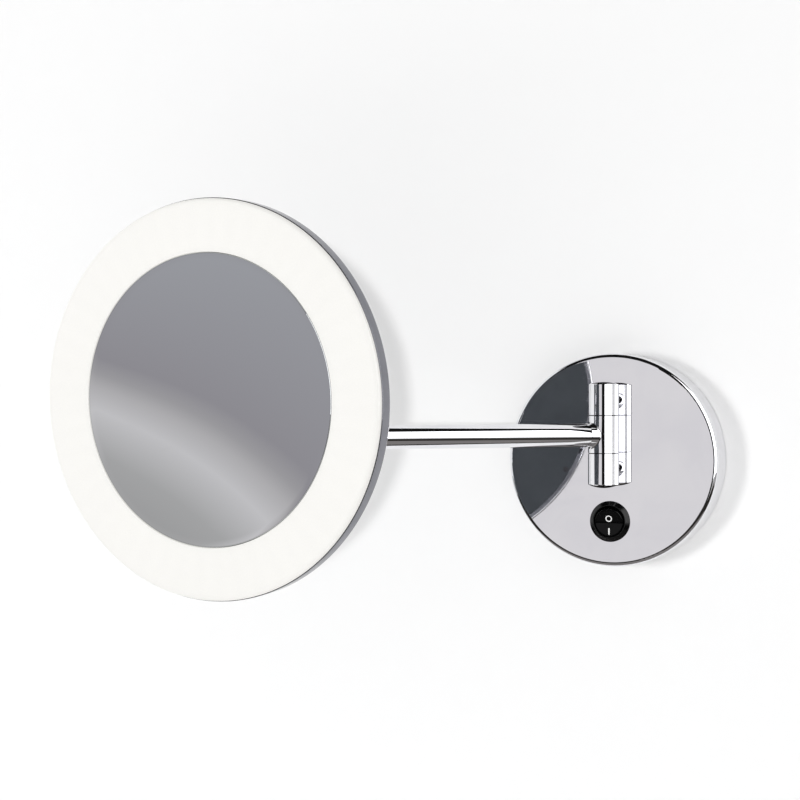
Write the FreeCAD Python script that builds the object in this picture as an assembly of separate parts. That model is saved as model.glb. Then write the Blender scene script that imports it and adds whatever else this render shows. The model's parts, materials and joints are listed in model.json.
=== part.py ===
"""Wall-mounted shaving mirror with a lit head on a swing-out arm.

Millimetres. The origin is the centre of the backplate on the wall plane, X runs along the wall,
+Y points into the wall and +Z is up, so the object stands out towards -Y. The rest pose has the
arm swung out from the wall, the head turned towards the user and the switch on.
"""
import FreeCAD, Part
import math
import os

V = FreeCAD.Vector
X_AXIS = V(1, 0, 0)
Y_AXIS = V(0, 1, 0)
Z_AXIS = V(0, 0, 1)
OUTWARD = V(0, -1, 0)

# ---- Rest pose -------------------------------------------------------------------------------
ARM_SWING = 42.9          # arm's angle out from the wall, on the left
HEAD_YAW = -9.05          # the mirror's facing, from square to the wall, to the right
HEAD_PITCH = 2.0          # the mirror's facing, downwards
ROCKER_THROW = 8.0        # the rocker's angle each side of its middle; the lower half is pressed

# ---- Fits ------------------------------------------------------------------------------------
RUN = 0.05                # radial clearance of a running fit
GAP = 0.2                 # radial clearance of a hole that something passes through
REACH = 60.0              # longer than any hole is deep

# ---- Backplate -------------------------------------------------------------------------------
PLATE_R = 60.0
PLATE_DEPTH = 25.0
PLATE_EDGE_R = 2.6
COVER_T = 1.5
PLATE_Y = -PLATE_DEPTH
INSIDE_Y = PLATE_Y + COVER_T
BRACKET_T = 2.0
BRACKET_R = 56.0
BRACKET_EAR_Z = 55.5      # the bracket's ears, under the cover's top and bottom
BRACKET_EAR = (14.0, 12.0, 1.8)
WALL_SCREW_SPACING = 60.0
WALL_SCREW_HOLE_R = 2.5
SEAL_DEPTH = 2.5
COVER_SCREW_Y = -8.0
COVER_SCREW_R = 1.5
COVER_SCREW_HEAD_R = 3.0
CABLE_X = 28.0
CABLE_Z = -28.0
CABLE_BORE_R = 3.75
GROMMET_R = 8.0
GROMMET_LIP_R = 10.5
GROMMET_LIP_T = 2.5

# The driver sits on the upper left of the bracket and the mains terminals on the upper right.
DRIVER_SIZE = (34.0, 17.0, 24.0)
DRIVER_WALL = 1.2
DRIVER_X = -27.0
DRIVER_Z = 20.0
DRIVER_BOARD_T = 1.6
DRIVER_LEAD_X = 8.0       # the lead's way out, from the driver's middle
TERMINAL_SIZE = (28.0, 13.0, 15.0)
TERMINAL_X = 27.0
TERMINAL_Z = 17.0
TERMINAL_PITCH = 8.5
TERMINAL_BORE_R = 1.9
TERMINAL_SCREW_R = 1.7
TERMINAL_SCREW_Z = 4.2
EARTH_X = -34.0
EARTH_Z = -18.0
EARTH_STUD_R = 2.0

# ---- Hinge -----------------------------------------------------------------------------------
HINGE_R = 8.5
HINGE_X = -0.7
HINGE_Y = PLATE_Y - 15.5
ARM_Z = 14.2              # the arm's axis above the plate's centre
MIDDLE_H = 20.4
MIDDLE_RISE = 0.5         # the middle knuckle's centre above the arm's axis
SEAM_T = 0.5              # the washers between the knuckles
OUTER_H = 16.9            # upper and lower knuckle without their domed caps
CAP_BEVEL = 0.35
TOP_DOME = 1.2
BOTTOM_DOME = 1.8
FOOT_R = 6.0
PIN_R = 5.0
PIN_BORE_R = 3.0
PIN_INSET = 0.3
BUSH_R = 6.5
BUSH_H = 5.0
GRUB_YAW = -115.0         # the grub screws' direction, from square to the wall: behind, on the left
GRUB_R = 2.0
GRUB_TIP = PIN_R + 0.02
GRUB_END = 7.9
GRUB_SOCKET = 2.0
KNUCKLE_SCREW_R = 3.0
NIPPLE_R = 4.0
NIPPLE_BORE_R = 2.4
STIFFENER_SIZE = (26.0, 2.0, 56.0)
FIXING_WASHER_T = 1.0
FIXING_NUT_H = 4.0

# ---- Switch ----------------------------------------------------------------------------------
SWITCH_X = -0.8
SWITCH_Z = -34.5
SWITCH_DEPTH = 13.0
BEZEL_R = 11.5
BEZEL_FRONT_R = 9.2
BEZEL_H = 2.4
SWITCH_BODY_R = 9.9
SWITCH_WELL_R = 8.8
SWITCH_WELL_DEPTH = 7.0
ROCKER_R = 8.0
ROCKER_WAIST = 3.4        # the rocker's front from its pivot, at its middle
ROCKER_TAIL = 3.2
ROCKER_PIVOT_Y = PLATE_Y + 1.0
ROCKER_PIVOT_R = 1.0
ROCKER_LEAN = math.tan(math.radians(ROCKER_THROW))
O_MARK_Z = 2.3
O_MARK_R = 1.85
I_MARK_Z = -4.9
I_MARK_SIZE = (0.7, 3.7)
MARK_STROKE = 0.55
MARK_T = 0.12
TAB_SIZE = (4.8, 8.0, 0.8)

# ---- Arm: local frame at the hinge's axis and the arm's height, +X towards the head ------------
ARM_L = 210.6             # hinge axis to swivel axis
ARM_TURN = 180.0 + ARM_SWING
TUBE_R = 6.4
TUBE_WALL = 1.0
TUBE_START = 7.0
SLEEVE_R = 6.6            # the short sleeve where the tube enters the middle knuckle
SLEEVE_END = 10.5
SLEEVE_FILLET = 1.2
LEAD_PASS_R = 4.0
LEAD_R = 1.3
END_R = 8.5               # end knuckle
END_TOP = 9.0
END_BOTTOM = -9.5
END_COLLAR_R = 7.7
END_COLLAR_L = 14.0
END_CAP_T = 0.9
TUBE_END = ARM_L - END_R + 1.9
SWIVEL_BUSH_R = 5.5
SWIVEL_BUSH_Z = 3.5
NUT_POCKET_R = 6.5
NUT_POCKET_Z = -5.0

# ---- Swivel and tilt: local frame at the swivel's axis and the arm's height, the mirror to -Y --
SWIVEL_PIN_R = 4.0
SWIVEL_BORE_R = 2.2
SWIVEL_PIN_LOW = -8.2
SWIVEL_NUT_TOP = -6.2
SWIVEL_NUT_R = 5.9
YOKE_WASHER_T = 0.6
YOKE_BASE_T = 2.2
YOKE_LOW = END_TOP + YOKE_WASHER_T
YOKE_FLOOR = YOKE_LOW + YOKE_BASE_T
TILT_RISE = 20.4          # tilt axis above the arm's axis
EAR_INNER_X = 4.1
EAR_T = 3.0
EAR_R = 6.0
EAR_OUTER_X = EAR_INNER_X + EAR_T
TILT_BOLT_R = 2.5
TILT_HEAD_R = 4.6
TILT_HEAD_BALL_R = 6.0
TILT_HEAD_H = 2.8
LUG_HALF_T = 3.5
NECK_H = 6.4

# ---- Head: local frame at the tilt axis, the mirror towards -Y --------------------------------
HEAD_BACK_Y = -20.2       # rear cover's outer face, from the tilt axis
REAR_COVER_T = 1.0
COVER_R = 96.8
COVER_FRONT_Y = HEAD_BACK_Y - REAR_COVER_T
RIM_R = 100.0
RIM_T = 1.5
RIM_SHELF_R = 91.0
RIM_NOSE = 0.5
RIM_BACK_Y = -20.0
RIM_FRONT_Y = -27.6
SHELF_Y = COVER_FRONT_Y - 1.5
FRONT_Y = -30.0           # light ring's front face
RING_R = 99.6
RING_ROUND_R = 1.7
RING_HOLE_R = 73.2
LIP_DEPTH = 2.2
LIP_T = 2.0
GLASS_R = 73.0
GLASS_SPHERE_R = 750.0
GLASS_T = 3.0
GLASS_EDGE_Y = FRONT_Y + 0.3
PAD_R = 66.0
PAD_HOLE_R = 36.0
FLANGE_R = 17.0
FLANGE_T = 3.0
FLANGE_BACK_Y = HEAD_BACK_Y + FLANGE_T
LUG_SCREW_PCD = 24.0
LUG_SCREW_R = 1.5
LUG_SCREW_HEAD_R = 3.0
BACKING_R = 26.0
BACKING_T = 1.4
BOARD_INNER_R = 76.5
BOARD_OUTER_R = 95.0
BOARD_T = 1.2
BOARD_Y = SHELF_Y - BOARD_T
BAFFLE_R = 76.2
BAFFLE_T = 0.8
LED_COUNT = 48
LED_PITCH_R = 86.0
LED_SIZE = (3.5, 0.8, 2.8)
CONNECTOR_SIZE = (8.0, 2.6, 5.0)
CONNECTOR_Z = -80.5
COVER_SCREW_COUNT = 6
HEAD_LEAD_R = 0.75
HEAD_LEAD_PASS_R = 1.1
HEAD_LEAD_Y = COVER_FRONT_Y - 0.9
RISER_Y = -4.6

# ---- Heights that follow from these ------------------------------------------------------------
MIDDLE_LOW = ARM_Z + MIDDLE_RISE - MIDDLE_H / 2
MIDDLE_TOP = MIDDLE_LOW + MIDDLE_H
UPPER_LOW = MIDDLE_TOP + SEAM_T
UPPER_TOP = UPPER_LOW + OUTER_H
UPPER_MID_Z = UPPER_LOW + OUTER_H / 2
LOWER_TOP = MIDDLE_LOW - SEAM_T
LOWER_LOW = LOWER_TOP - OUTER_H
LOWER_MID_Z = LOWER_TOP - OUTER_H / 2
FIXING_Y = INSIDE_Y + STIFFENER_SIZE[1]
GRUB_DIR = V(math.sin(math.radians(GRUB_YAW)), -math.cos(math.radians(GRUB_YAW)), 0)


# ---- Helpers ---------------------------------------------------------------------------------
def rod(radius, length, base, direction):
    """A solid cylinder from its base point."""
    return Part.makeCylinder(radius, length, base, direction)


def ring(outer, inner, length, base, direction):
    """A tube or washer from its base point."""
    return rod(outer, length, base, direction).cut(rod(inner, length, base, direction))


def disc_out(radius, y_rear, y_front, x=0.0, z=0.0):
    """A disc whose axis is square to the wall, between two depths."""
    return rod(radius, y_rear - y_front, V(x, y_rear, z), OUTWARD)


def washer_out(outer, inner, y_rear, y_front, x=0.0, z=0.0):
    """A flat ring whose axis is square to the wall."""
    return disc_out(outer, y_rear, y_front, x, z).cut(disc_out(inner, y_rear, y_front, x, z))


def through(radius, x=0.0, z=0.0):
    """A long cutter, square to the wall, for a hole through a sheet."""
    return disc_out(radius, REACH, -REACH, x, z)


def block(size, centre):
    """A box from its size and centre."""
    corner = V(centre.x - size[0] / 2, centre.y - size[1] / 2, centre.z - size[2] / 2)
    return Part.makeBox(size[0], size[1], size[2], corner)


def moved(shape, base, direction):
    """The shape, made along Z at the origin, put at a base point along a direction."""
    shape.Placement = FreeCAD.Placement(base, FreeCAD.Rotation(Z_AXIS, direction))
    return shape


def at(x, y, z, axis=Z_AXIS, angle=0.0):
    """A placement from a point and a turn."""
    return FreeCAD.Placement(V(x, y, z), FreeCAD.Rotation(axis, angle))


def revolve(outline):
    """A solid turned round Y from (radius, y) points."""
    points = [V(r, y, 0) for r, y in outline]
    wire = Part.makePolygon(points + [points[0]])
    return Part.Face(wire).revolve(V(0, 0, 0), Y_AXIS, 360)


def hexagon(flats, length, base, direction):
    """A hexagonal prism, by its size across flats."""
    radius = flats / math.sqrt(3)
    points = []
    for i in range(7):
        angle = math.radians(60 * i)
        points.append(V(radius * math.cos(angle), radius * math.sin(angle), 0))
    prism = Part.Face(Part.makePolygon(points)).extrude(V(0, 0, length))
    return moved(prism, base, direction)


def round_edge(disc, y, radius):
    """The disc with its outer edge rounded at one of its faces."""
    edges = [e for e in disc.Edges if abs(e.BoundBox.YMin - y) < 1e-6 and abs(e.BoundBox.YMax - y) < 1e-6]
    return disc.makeFillet(radius, edges)


def domed_cap(radius, dome):
    """A shallow domed cap with a small bevel at its edge, flat below."""
    inner = radius - CAP_BEVEL
    ball_r = (inner * inner + dome * dome) / (2 * dome)
    seat = Part.makeCone(radius, inner, CAP_BEVEL)
    ball = Part.makeSphere(ball_r, V(0, 0, CAP_BEVEL + dome - ball_r))
    top = ball.common(rod(inner, REACH, V(0, 0, CAP_BEVEL), Z_AXIS))
    return seat.fuse(top).removeSplitter()


def lead(points, bend, radius):
    """A round lead along straight runs joined by tangent arcs."""
    edges = []
    start = points[0]
    for before, corner, after in zip(points, points[1:], points[2:]):
        d_in = (corner - before).normalize()
        d_out = (after - corner).normalize()
        turn = d_in.getAngle(d_out)
        back = bend * math.tan(turn / 2)
        p_in = corner - d_in * back
        p_out = corner + d_out * back
        to_centre = (d_out - d_in).normalize()
        middle = corner + to_centre * (bend / math.cos(turn / 2) - bend)
        edges.append(Part.LineSegment(start, p_in).toShape())
        edges.append(Part.Arc(p_in, middle, p_out).toShape())
        start = p_out
    edges.append(Part.LineSegment(start, points[-1]).toShape())
    section = Part.Wire(Part.makeCircle(radius, points[0], points[1] - points[0]))
    return Part.Wire(edges).makePipeShell([section], True, False)


def countersunk(shank_r, head_r, head_h, length, base, direction):
    """A countersunk screw with a cross recess; its base is the centre of the flat head face."""
    recess_l = head_r * 1.1
    recess_w = head_r * 0.28
    recess_h = head_h * 0.6
    screw = rod(shank_r, length, V(0, 0, 0), Z_AXIS).fuse(Part.makeCone(head_r, shank_r, head_h))
    screw = screw.removeSplitter()
    for size in ((recess_l, recess_w, recess_h), (recess_w, recess_l, recess_h)):
        screw = screw.cut(block(size, V(0, 0, recess_h / 2)))
    return moved(screw, base, direction)


def save(name, shape, placement=None):
    """Writes one node; several solids make a group of identical pieces."""
    if isinstance(shape, list):
        shape = Part.makeCompound(shape)
    if placement is not None:
        shape = shape.copy()
        shape.Placement = placement.multiply(shape.Placement)
    shape.exportStep("parts/" + name + ".step")
    print(name, "solids", len(shape.Solids), "valid", shape.isValid(), "volume", round(shape.Volume, 1))


# ---- Wall unit -------------------------------------------------------------------------------
def wall_bracket():
    """A flat disc with two folded ears that take the cover's screws."""
    ear_z = BRACKET_EAR_Z - BRACKET_EAR[2] / 2
    plate = disc_out(BRACKET_R, 0, -BRACKET_T)
    for side in (-1, 1):
        ear = block(BRACKET_EAR, V(0, -BRACKET_EAR[1] / 2, side * ear_z))
        hole = rod(COVER_SCREW_R, REACH, V(0, COVER_SCREW_Y, 0), V(0, 0, side))
        plate = plate.cut(through(WALL_SCREW_HOLE_R, side * WALL_SCREW_SPACING / 2)).fuse(ear).cut(hole)
    return plate.cut(through(GROMMET_R, CABLE_X, CABLE_Z)).removeSplitter()


def backplate_cover():
    """A deep drawn chrome dish with a rounded edge and holes for the hinge and the switch."""
    outer = round_edge(disc_out(PLATE_R, 0, PLATE_Y), PLATE_Y, PLATE_EDGE_R)
    inner = round_edge(disc_out(PLATE_R - COVER_T, 0, INSIDE_Y), INSIDE_Y, PLATE_EDGE_R - COVER_T)
    cover = outer.cut(inner)
    cover = cover.cut(through(KNUCKLE_SCREW_R + GAP, HINGE_X, UPPER_MID_Z))
    cover = cover.cut(through(NIPPLE_R + GAP, HINGE_X, LOWER_MID_Z))
    cover = cover.cut(through(SWITCH_BODY_R + GAP, SWITCH_X, SWITCH_Z))
    mouth_r = COVER_SCREW_HEAD_R + 0.1
    for side in (-1, 1):
        edge = V(0, COVER_SCREW_Y, side * PLATE_R)
        cover = cover.cut(Part.makeCone(mouth_r, COVER_SCREW_R + 0.1, COVER_T, edge, V(0, 0, -side)))
        cover = cover.cut(rod(COVER_SCREW_R + 0.1, 2 * COVER_T, edge, V(0, 0, -side)))
    return cover


def grommet():
    """A rubber collar in the bracket's cable hole."""
    body = disc_out(GROMMET_R, 0, -BRACKET_T, CABLE_X, CABLE_Z)
    lip = disc_out(GROMMET_LIP_R, -BRACKET_T, -BRACKET_T - GROMMET_LIP_T, CABLE_X, CABLE_Z)
    return body.fuse(lip).cut(through(CABLE_BORE_R, CABLE_X, CABLE_Z)).removeSplitter()


def driver():
    """The LED driver: an open case, its lid and the board with its components."""
    wide, deep, high = DRIVER_SIZE
    y = -BRACKET_T - deep / 2
    front = y - deep / 2
    inside = (wide - 2 * DRIVER_WALL, deep, high - 2 * DRIVER_WALL)
    case = block((wide, deep - DRIVER_WALL, high), V(DRIVER_X, y + DRIVER_WALL / 2, DRIVER_Z))
    case = case.cut(block(inside, V(DRIVER_X, y - DRIVER_WALL, DRIVER_Z)))
    case = case.cut(rod(LEAD_R + GAP, high / 2, driver_exit() - V(0, 0, high / 4), Z_AXIS))
    lid = block((wide, DRIVER_WALL, high), V(DRIVER_X, front + DRIVER_WALL / 2, DRIVER_Z))
    board_y = y + deep / 2 - 4.0
    board = block((inside[0] - 1, DRIVER_BOARD_T, inside[2] - 1), V(DRIVER_X, board_y, DRIVER_Z))
    top = board_y - DRIVER_BOARD_T / 2
    transformer = block((11, 8, 12), V(DRIVER_X - 7, top - 4, DRIVER_Z))
    capacitor = rod(3.5, 9, V(DRIVER_X + 5, top, DRIVER_Z + 4), OUTWARD)
    choke = rod(2.5, 6, V(DRIVER_X + 11, top, DRIVER_Z - 5), OUTWARD)
    return case, lid, board, [transformer, capacitor, choke]


def driver_exit():
    """Where the low-voltage lead leaves the driver's case."""
    return V(DRIVER_X + DRIVER_LEAD_X, 2 - BRACKET_T - DRIVER_SIZE[1] / 2, DRIVER_Z - DRIVER_SIZE[2] / 2)


def terminals():
    """A three-pole terminal block and its six clamp screws."""
    centre = V(TERMINAL_X, -BRACKET_T - TERMINAL_SIZE[1] / 2, TERMINAL_Z)
    front = centre.y - TERMINAL_SIZE[1] / 2
    body = block(TERMINAL_SIZE, centre)
    screws = []
    for pole in (-1, 0, 1):
        x = centre.x + pole * TERMINAL_PITCH
        body = body.cut(rod(TERMINAL_BORE_R, REACH, V(x, centre.y, centre.z - REACH / 2), Z_AXIS))
        for side in (-1, 1):
            z = centre.z + side * TERMINAL_SCREW_Z
            body = body.cut(disc_out(TERMINAL_BORE_R, centre.y, front - 1, x, z))
            screw = disc_out(TERMINAL_SCREW_R, centre.y - 2.2, front + 1.0, x, z)
            screws.append(screw.cut(block((4, 1.0, 0.7), V(x, front + 1.2, z))))
    return body, screws


def earth():
    """The earth stud on the bracket and its nut."""
    stud = disc_out(EARTH_STUD_R, -BRACKET_T, -14, EARTH_X, EARTH_Z)
    nut = hexagon(7.0, 3.2, V(EARTH_X, -4.0, EARTH_Z), OUTWARD)
    return stud, nut.cut(through(EARTH_STUD_R, EARTH_X, EARTH_Z))


# ---- Hinge -----------------------------------------------------------------------------------
def hinge_point(z):
    """A point on the hinge's axis."""
    return V(HINGE_X, HINGE_Y, z)


def outer_knuckle(z_low, screw_r):
    """A fixed knuckle with its foot on the plate, its pin bore and its grub screw's hole."""
    middle = hinge_point(z_low + OUTER_H / 2)
    stand = PLATE_Y - HINGE_Y
    body = rod(HINGE_R, OUTER_H, hinge_point(z_low), Z_AXIS)
    body = body.fuse(rod(FOOT_R, stand, middle, Y_AXIS)).removeSplitter()
    body = body.cut(rod(PIN_R + RUN, OUTER_H, hinge_point(z_low), Z_AXIS))
    body = body.cut(rod(screw_r, stand, middle, Y_AXIS))
    return body.cut(rod(GRUB_R, REACH, middle, GRUB_DIR))


def grub_screw(z):
    """A grub screw with a hexagon socket, tight against the pin."""
    screw = rod(GRUB_R, GRUB_END - GRUB_TIP, hinge_point(z) + GRUB_DIR * GRUB_TIP, GRUB_DIR)
    mouth = hinge_point(z) + GRUB_DIR * (GRUB_END - GRUB_SOCKET)
    return screw.cut(hexagon(GRUB_SOCKET, GRUB_SOCKET, mouth, GRUB_DIR))


def hinge_pin():
    """A hollow pin with a port for the lead below and a wide window at the arm's height."""
    low = LOWER_LOW + PIN_INSET
    pin = ring(PIN_R, PIN_BORE_R, UPPER_TOP - PIN_INSET - low, hinge_point(low), Z_AXIS)
    port = block((2 * NIPPLE_BORE_R, 6, 9.0), V(HINGE_X, HINGE_Y + 4.2, LOWER_MID_Z + 2.1))
    window = block((12, 8, 11), V(HINGE_X, HINGE_Y - 2.3, ARM_Z - 1.5))
    return pin.cut(port).cut(window)


def seam_washers():
    """The two washers that show as dark lines between the knuckles."""
    washers = []
    for z in (LOWER_TOP, MIDDLE_TOP):
        washers.append(ring(HINGE_R - 0.25, PIN_R + RUN, SEAM_T, hinge_point(z), Z_AXIS))
    return washers


def knuckle_screw():
    """The hexagon screw that holds the upper knuckle from inside the cover."""
    head_y = FIXING_Y + FIXING_WASHER_T
    head = hexagon(10.0, FIXING_NUT_H, V(HINGE_X, head_y, UPPER_MID_Z), Y_AXIS)
    shank = disc_out(KNUCKLE_SCREW_R, head_y, HINGE_Y + PIN_R + 0.7, HINGE_X, UPPER_MID_Z)
    return head.fuse(shank)


def cable_nipple():
    """The threaded hollow nipple that holds the lower knuckle and carries the lead."""
    rear = FIXING_Y + FIXING_WASHER_T + FIXING_NUT_H + 1.5
    return washer_out(NIPPLE_R, NIPPLE_BORE_R, rear, HINGE_Y + PIN_R + 0.4, HINGE_X, LOWER_MID_Z)


def nipple_nut():
    """The nipple's hexagon nut."""
    nut = hexagon(13.0, FIXING_NUT_H, V(HINGE_X, FIXING_Y + FIXING_WASHER_T, LOWER_MID_Z), Y_AXIS)
    return nut.cut(through(NIPPLE_R, HINGE_X, LOWER_MID_Z))


def stiffener():
    """The steel strip behind the cover's face that the hinge pulls against."""
    middle_z = (UPPER_MID_Z + LOWER_MID_Z) / 2
    strip = block(STIFFENER_SIZE, V(HINGE_X, INSIDE_Y + STIFFENER_SIZE[1] / 2, middle_z))
    strip = strip.cut(through(KNUCKLE_SCREW_R + GAP, HINGE_X, UPPER_MID_Z))
    return strip.cut(through(NIPPLE_R + GAP, HINGE_X, LOWER_MID_Z))


def fixing_washers():
    """The washers under the upper screw's head and under the nipple's nut."""
    front = FIXING_Y
    rear = FIXING_Y + FIXING_WASHER_T
    return [washer_out(7.0, KNUCKLE_SCREW_R + GAP, rear, front, HINGE_X, UPPER_MID_Z),
            washer_out(9.0, NIPPLE_R + GAP, rear, front, HINGE_X, LOWER_MID_Z)]


def wall_lead():
    """The low-voltage lead from the driver through the nipple into the hinge pin."""
    start = driver_exit() + V(0, 0, 1)
    points = [start, V(start.x, start.y, LOWER_MID_Z), V(HINGE_X, start.y, LOWER_MID_Z),
              hinge_point(LOWER_MID_Z), hinge_point(ARM_Z - 5.5)]
    return lead(points, 3.8, LEAD_R)


def wall_unit():
    """Everything that stays on the wall, apart from the rocker."""
    save("wall_bracket", wall_bracket())
    save("wall_seal", washer_out(PLATE_R - COVER_T - 0.1, BRACKET_R + GAP, 0, -SEAL_DEPTH))
    save("cable_grommet", grommet())
    save("backplate_cover", backplate_cover())
    save("cover_screws", [countersunk(COVER_SCREW_R, COVER_SCREW_HEAD_R, 1.5, 8.0,
                                      V(0, COVER_SCREW_Y, side * (PLATE_R - 0.1)), V(0, 0, -side))
                          for side in (-1, 1)])
    save("stiffener_strip", stiffener())
    case, lid, board, components = driver()
    save("driver_case", case)
    save("driver_lid", lid)
    save("driver_board", board)
    save("driver_components", components)
    body, clamp_screws = terminals()
    save("terminal_block", body)
    save("terminal_screws", clamp_screws)
    stud, nut = earth()
    save("earth_stud", stud)
    save("earth_nut", nut)
    save("upper_knuckle", outer_knuckle(UPPER_LOW, KNUCKLE_SCREW_R))
    save("lower_knuckle", outer_knuckle(LOWER_LOW, NIPPLE_R))
    save("hinge_cap_top", domed_cap(HINGE_R, TOP_DOME), at(HINGE_X, HINGE_Y, UPPER_TOP))
    save("hinge_cap_bottom", domed_cap(HINGE_R, BOTTOM_DOME), at(HINGE_X, HINGE_Y, LOWER_LOW, X_AXIS, 180))
    save("hinge_pin", hinge_pin())
    save("knuckle_grub_screws", [grub_screw(UPPER_MID_Z), grub_screw(LOWER_MID_Z)])
    save("knuckle_screw", knuckle_screw())
    save("cable_nipple", cable_nipple())
    save("nipple_nut", nipple_nut())
    save("hinge_fixing_washers", fixing_washers())
    save("seam_washers", seam_washers())
    save("wall_lead", wall_lead())


# ---- Switch ----------------------------------------------------------------------------------
def switch_housing():
    """A round housing with a conical bezel, a well for the rocker and two pivot holes."""
    body = disc_out(SWITCH_BODY_R, PLATE_Y + SWITCH_DEPTH, PLATE_Y)
    bezel = Part.makeCone(BEZEL_R, BEZEL_FRONT_R, BEZEL_H, V(0, PLATE_Y, 0), OUTWARD)
    body = body.fuse(bezel).cut(disc_out(SWITCH_WELL_R, PLATE_Y + SWITCH_WELL_DEPTH, -REACH))
    return body.cut(rod(ROCKER_PIVOT_R + RUN, REACH, V(-REACH / 2, ROCKER_PIVOT_Y, 0), X_AXIS))


def rocker():
    """The rocker, modelled at its middle: two faces that slope to the centre, and two pivots."""
    reach = ROCKER_R + 1
    crest = -ROCKER_WAIST - reach * ROCKER_LEAN
    side = [V(-reach, -ROCKER_WAIST, 0), V(-reach, crest, reach), V(-reach, reach, reach),
            V(-reach, reach, -reach), V(-reach, crest, -reach)]
    wedge = Part.Face(Part.makePolygon(side + [side[0]])).extrude(V(2 * reach, 0, 0))
    body = disc_out(ROCKER_R, ROCKER_TAIL, crest).common(wedge)
    pivot_x = SWITCH_BODY_R - 0.4
    return body.fuse(rod(ROCKER_PIVOT_R, 2 * pivot_x, V(-pivot_x, 0, 0), X_AXIS))


def rocker_marks():
    """The O and I marks, thin inlays on the rocker's two faces."""
    o_mark = washer_out(O_MARK_R, O_MARK_R - MARK_STROKE, 0, -MARK_T)
    i_mark = block((I_MARK_SIZE[0], MARK_T, I_MARK_SIZE[1]), V(0, -MARK_T / 2, 0))
    for mark, z, tilt in ((o_mark, O_MARK_Z, ROCKER_THROW), (i_mark, I_MARK_Z, -ROCKER_THROW)):
        mark.Placement = at(0, -ROCKER_WAIST - abs(z) * ROCKER_LEAN, z, X_AXIS, tilt)
    return [o_mark, i_mark]


def switch():
    """The switch's housing and tabs, and the rocker with its lower half pressed."""
    here = at(SWITCH_X, 0, SWITCH_Z)
    tab_y = PLATE_Y + SWITCH_DEPTH + TAB_SIZE[1] / 2
    save("switch_housing", switch_housing(), here)
    save("switch_tabs", [block(TAB_SIZE, V(0, tab_y, z)) for z in (-5, 5)], here)
    pressed = at(SWITCH_X, ROCKER_PIVOT_Y, SWITCH_Z, X_AXIS, ROCKER_THROW)
    save("switch_rocker", rocker(), pressed)
    save("rocker_marks", rocker_marks(), pressed)


# ---- Arm -------------------------------------------------------------------------------------
def middle_knuckle():
    """The knuckle that turns, with bush pockets and a filleted sleeve round the tube."""
    low = MIDDLE_RISE - MIDDLE_H / 2
    body = rod(HINGE_R, MIDDLE_H, V(0, 0, low), Z_AXIS)
    body = body.fuse(rod(SLEEVE_R, SLEEVE_END, V(0, 0, 0), X_AXIS))
    root = [e for e in body.Edges if e.BoundBox.XMin > HINGE_R / 2 and e.BoundBox.XMax < HINGE_R + 0.01
            and e.BoundBox.ZMax < SLEEVE_R + 0.01 and e.BoundBox.ZMin > -SLEEVE_R - 0.01]
    body = body.makeFillet(SLEEVE_FILLET, root)
    body = body.cut(rod(PIN_R + 0.35, MIDDLE_H, V(0, 0, low), Z_AXIS))
    for z in (low, low + MIDDLE_H - BUSH_H):
        body = body.cut(rod(BUSH_R, BUSH_H, V(0, 0, z), Z_AXIS))
    body = body.cut(rod(TUBE_R, REACH, V(TUBE_START, 0, 0), X_AXIS))
    return body.cut(rod(LEAD_PASS_R, REACH, V(0, 0, 0), X_AXIS))


def hinge_bushes():
    """The two bushes in the middle knuckle."""
    low = MIDDLE_RISE - MIDDLE_H / 2
    return [ring(BUSH_R, PIN_R + RUN, BUSH_H, V(0, 0, z), Z_AXIS) for z in (low, low + MIDDLE_H - BUSH_H)]


def end_knuckle():
    """The upright knuckle at the arm's end that carries the swivel."""
    body = rod(END_R, END_TOP - END_BOTTOM, V(ARM_L, 0, END_BOTTOM), Z_AXIS)
    collar = rod(END_COLLAR_R, END_COLLAR_L - END_R / 2, V(ARM_L - END_COLLAR_L, 0, 0), X_AXIS)
    body = body.fuse(collar).removeSplitter()
    body = body.cut(rod(SWIVEL_PIN_R + 0.35, REACH, V(ARM_L, 0, -REACH / 2), Z_AXIS))
    body = body.cut(rod(SWIVEL_BUSH_R, REACH, V(ARM_L, 0, SWIVEL_BUSH_Z), Z_AXIS))
    body = body.cut(rod(NUT_POCKET_R, REACH, V(ARM_L, 0, NUT_POCKET_Z - REACH), Z_AXIS))
    body = body.cut(rod(TUBE_R, REACH, V(TUBE_END - REACH, 0, 0), X_AXIS))
    return body.cut(rod(3.0, END_R, V(TUBE_END - 1, 0, 0), X_AXIS))


def arm():
    """The arm from the middle knuckle to the end knuckle."""
    place = at(HINGE_X, HINGE_Y, ARM_Z, Z_AXIS, ARM_TURN)
    save("middle_knuckle", middle_knuckle(), place)
    save("hinge_bushes", hinge_bushes(), place)
    tube = ring(TUBE_R, TUBE_R - TUBE_WALL, TUBE_END - TUBE_START, V(TUBE_START, 0, 0), X_AXIS)
    save("arm_tube", tube, place)
    save("end_knuckle", end_knuckle(), place)
    bush_at = V(ARM_L, 0, SWIVEL_BUSH_Z)
    bush = ring(SWIVEL_BUSH_R, SWIVEL_PIN_R + RUN, END_TOP - SWIVEL_BUSH_Z, bush_at, Z_AXIS)
    save("swivel_bush", bush, place)
    plug = rod(NUT_POCKET_R, END_CAP_T, V(0, 0, -END_CAP_T), Z_AXIS)
    cap = plug.fuse(domed_cap(END_R - 0.1, 0.7)).removeSplitter()
    save("end_knuckle_cap", cap, place.multiply(at(ARM_L, 0, END_BOTTOM, X_AXIS, 180)))
    points = [V(0, 0, -5.0), V(0, 0, 0), V(ARM_L, 0, 0), V(ARM_L, 0, YOKE_FLOOR)]
    save("arm_lead", lead(points, 3.4, LEAD_R), place)


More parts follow.
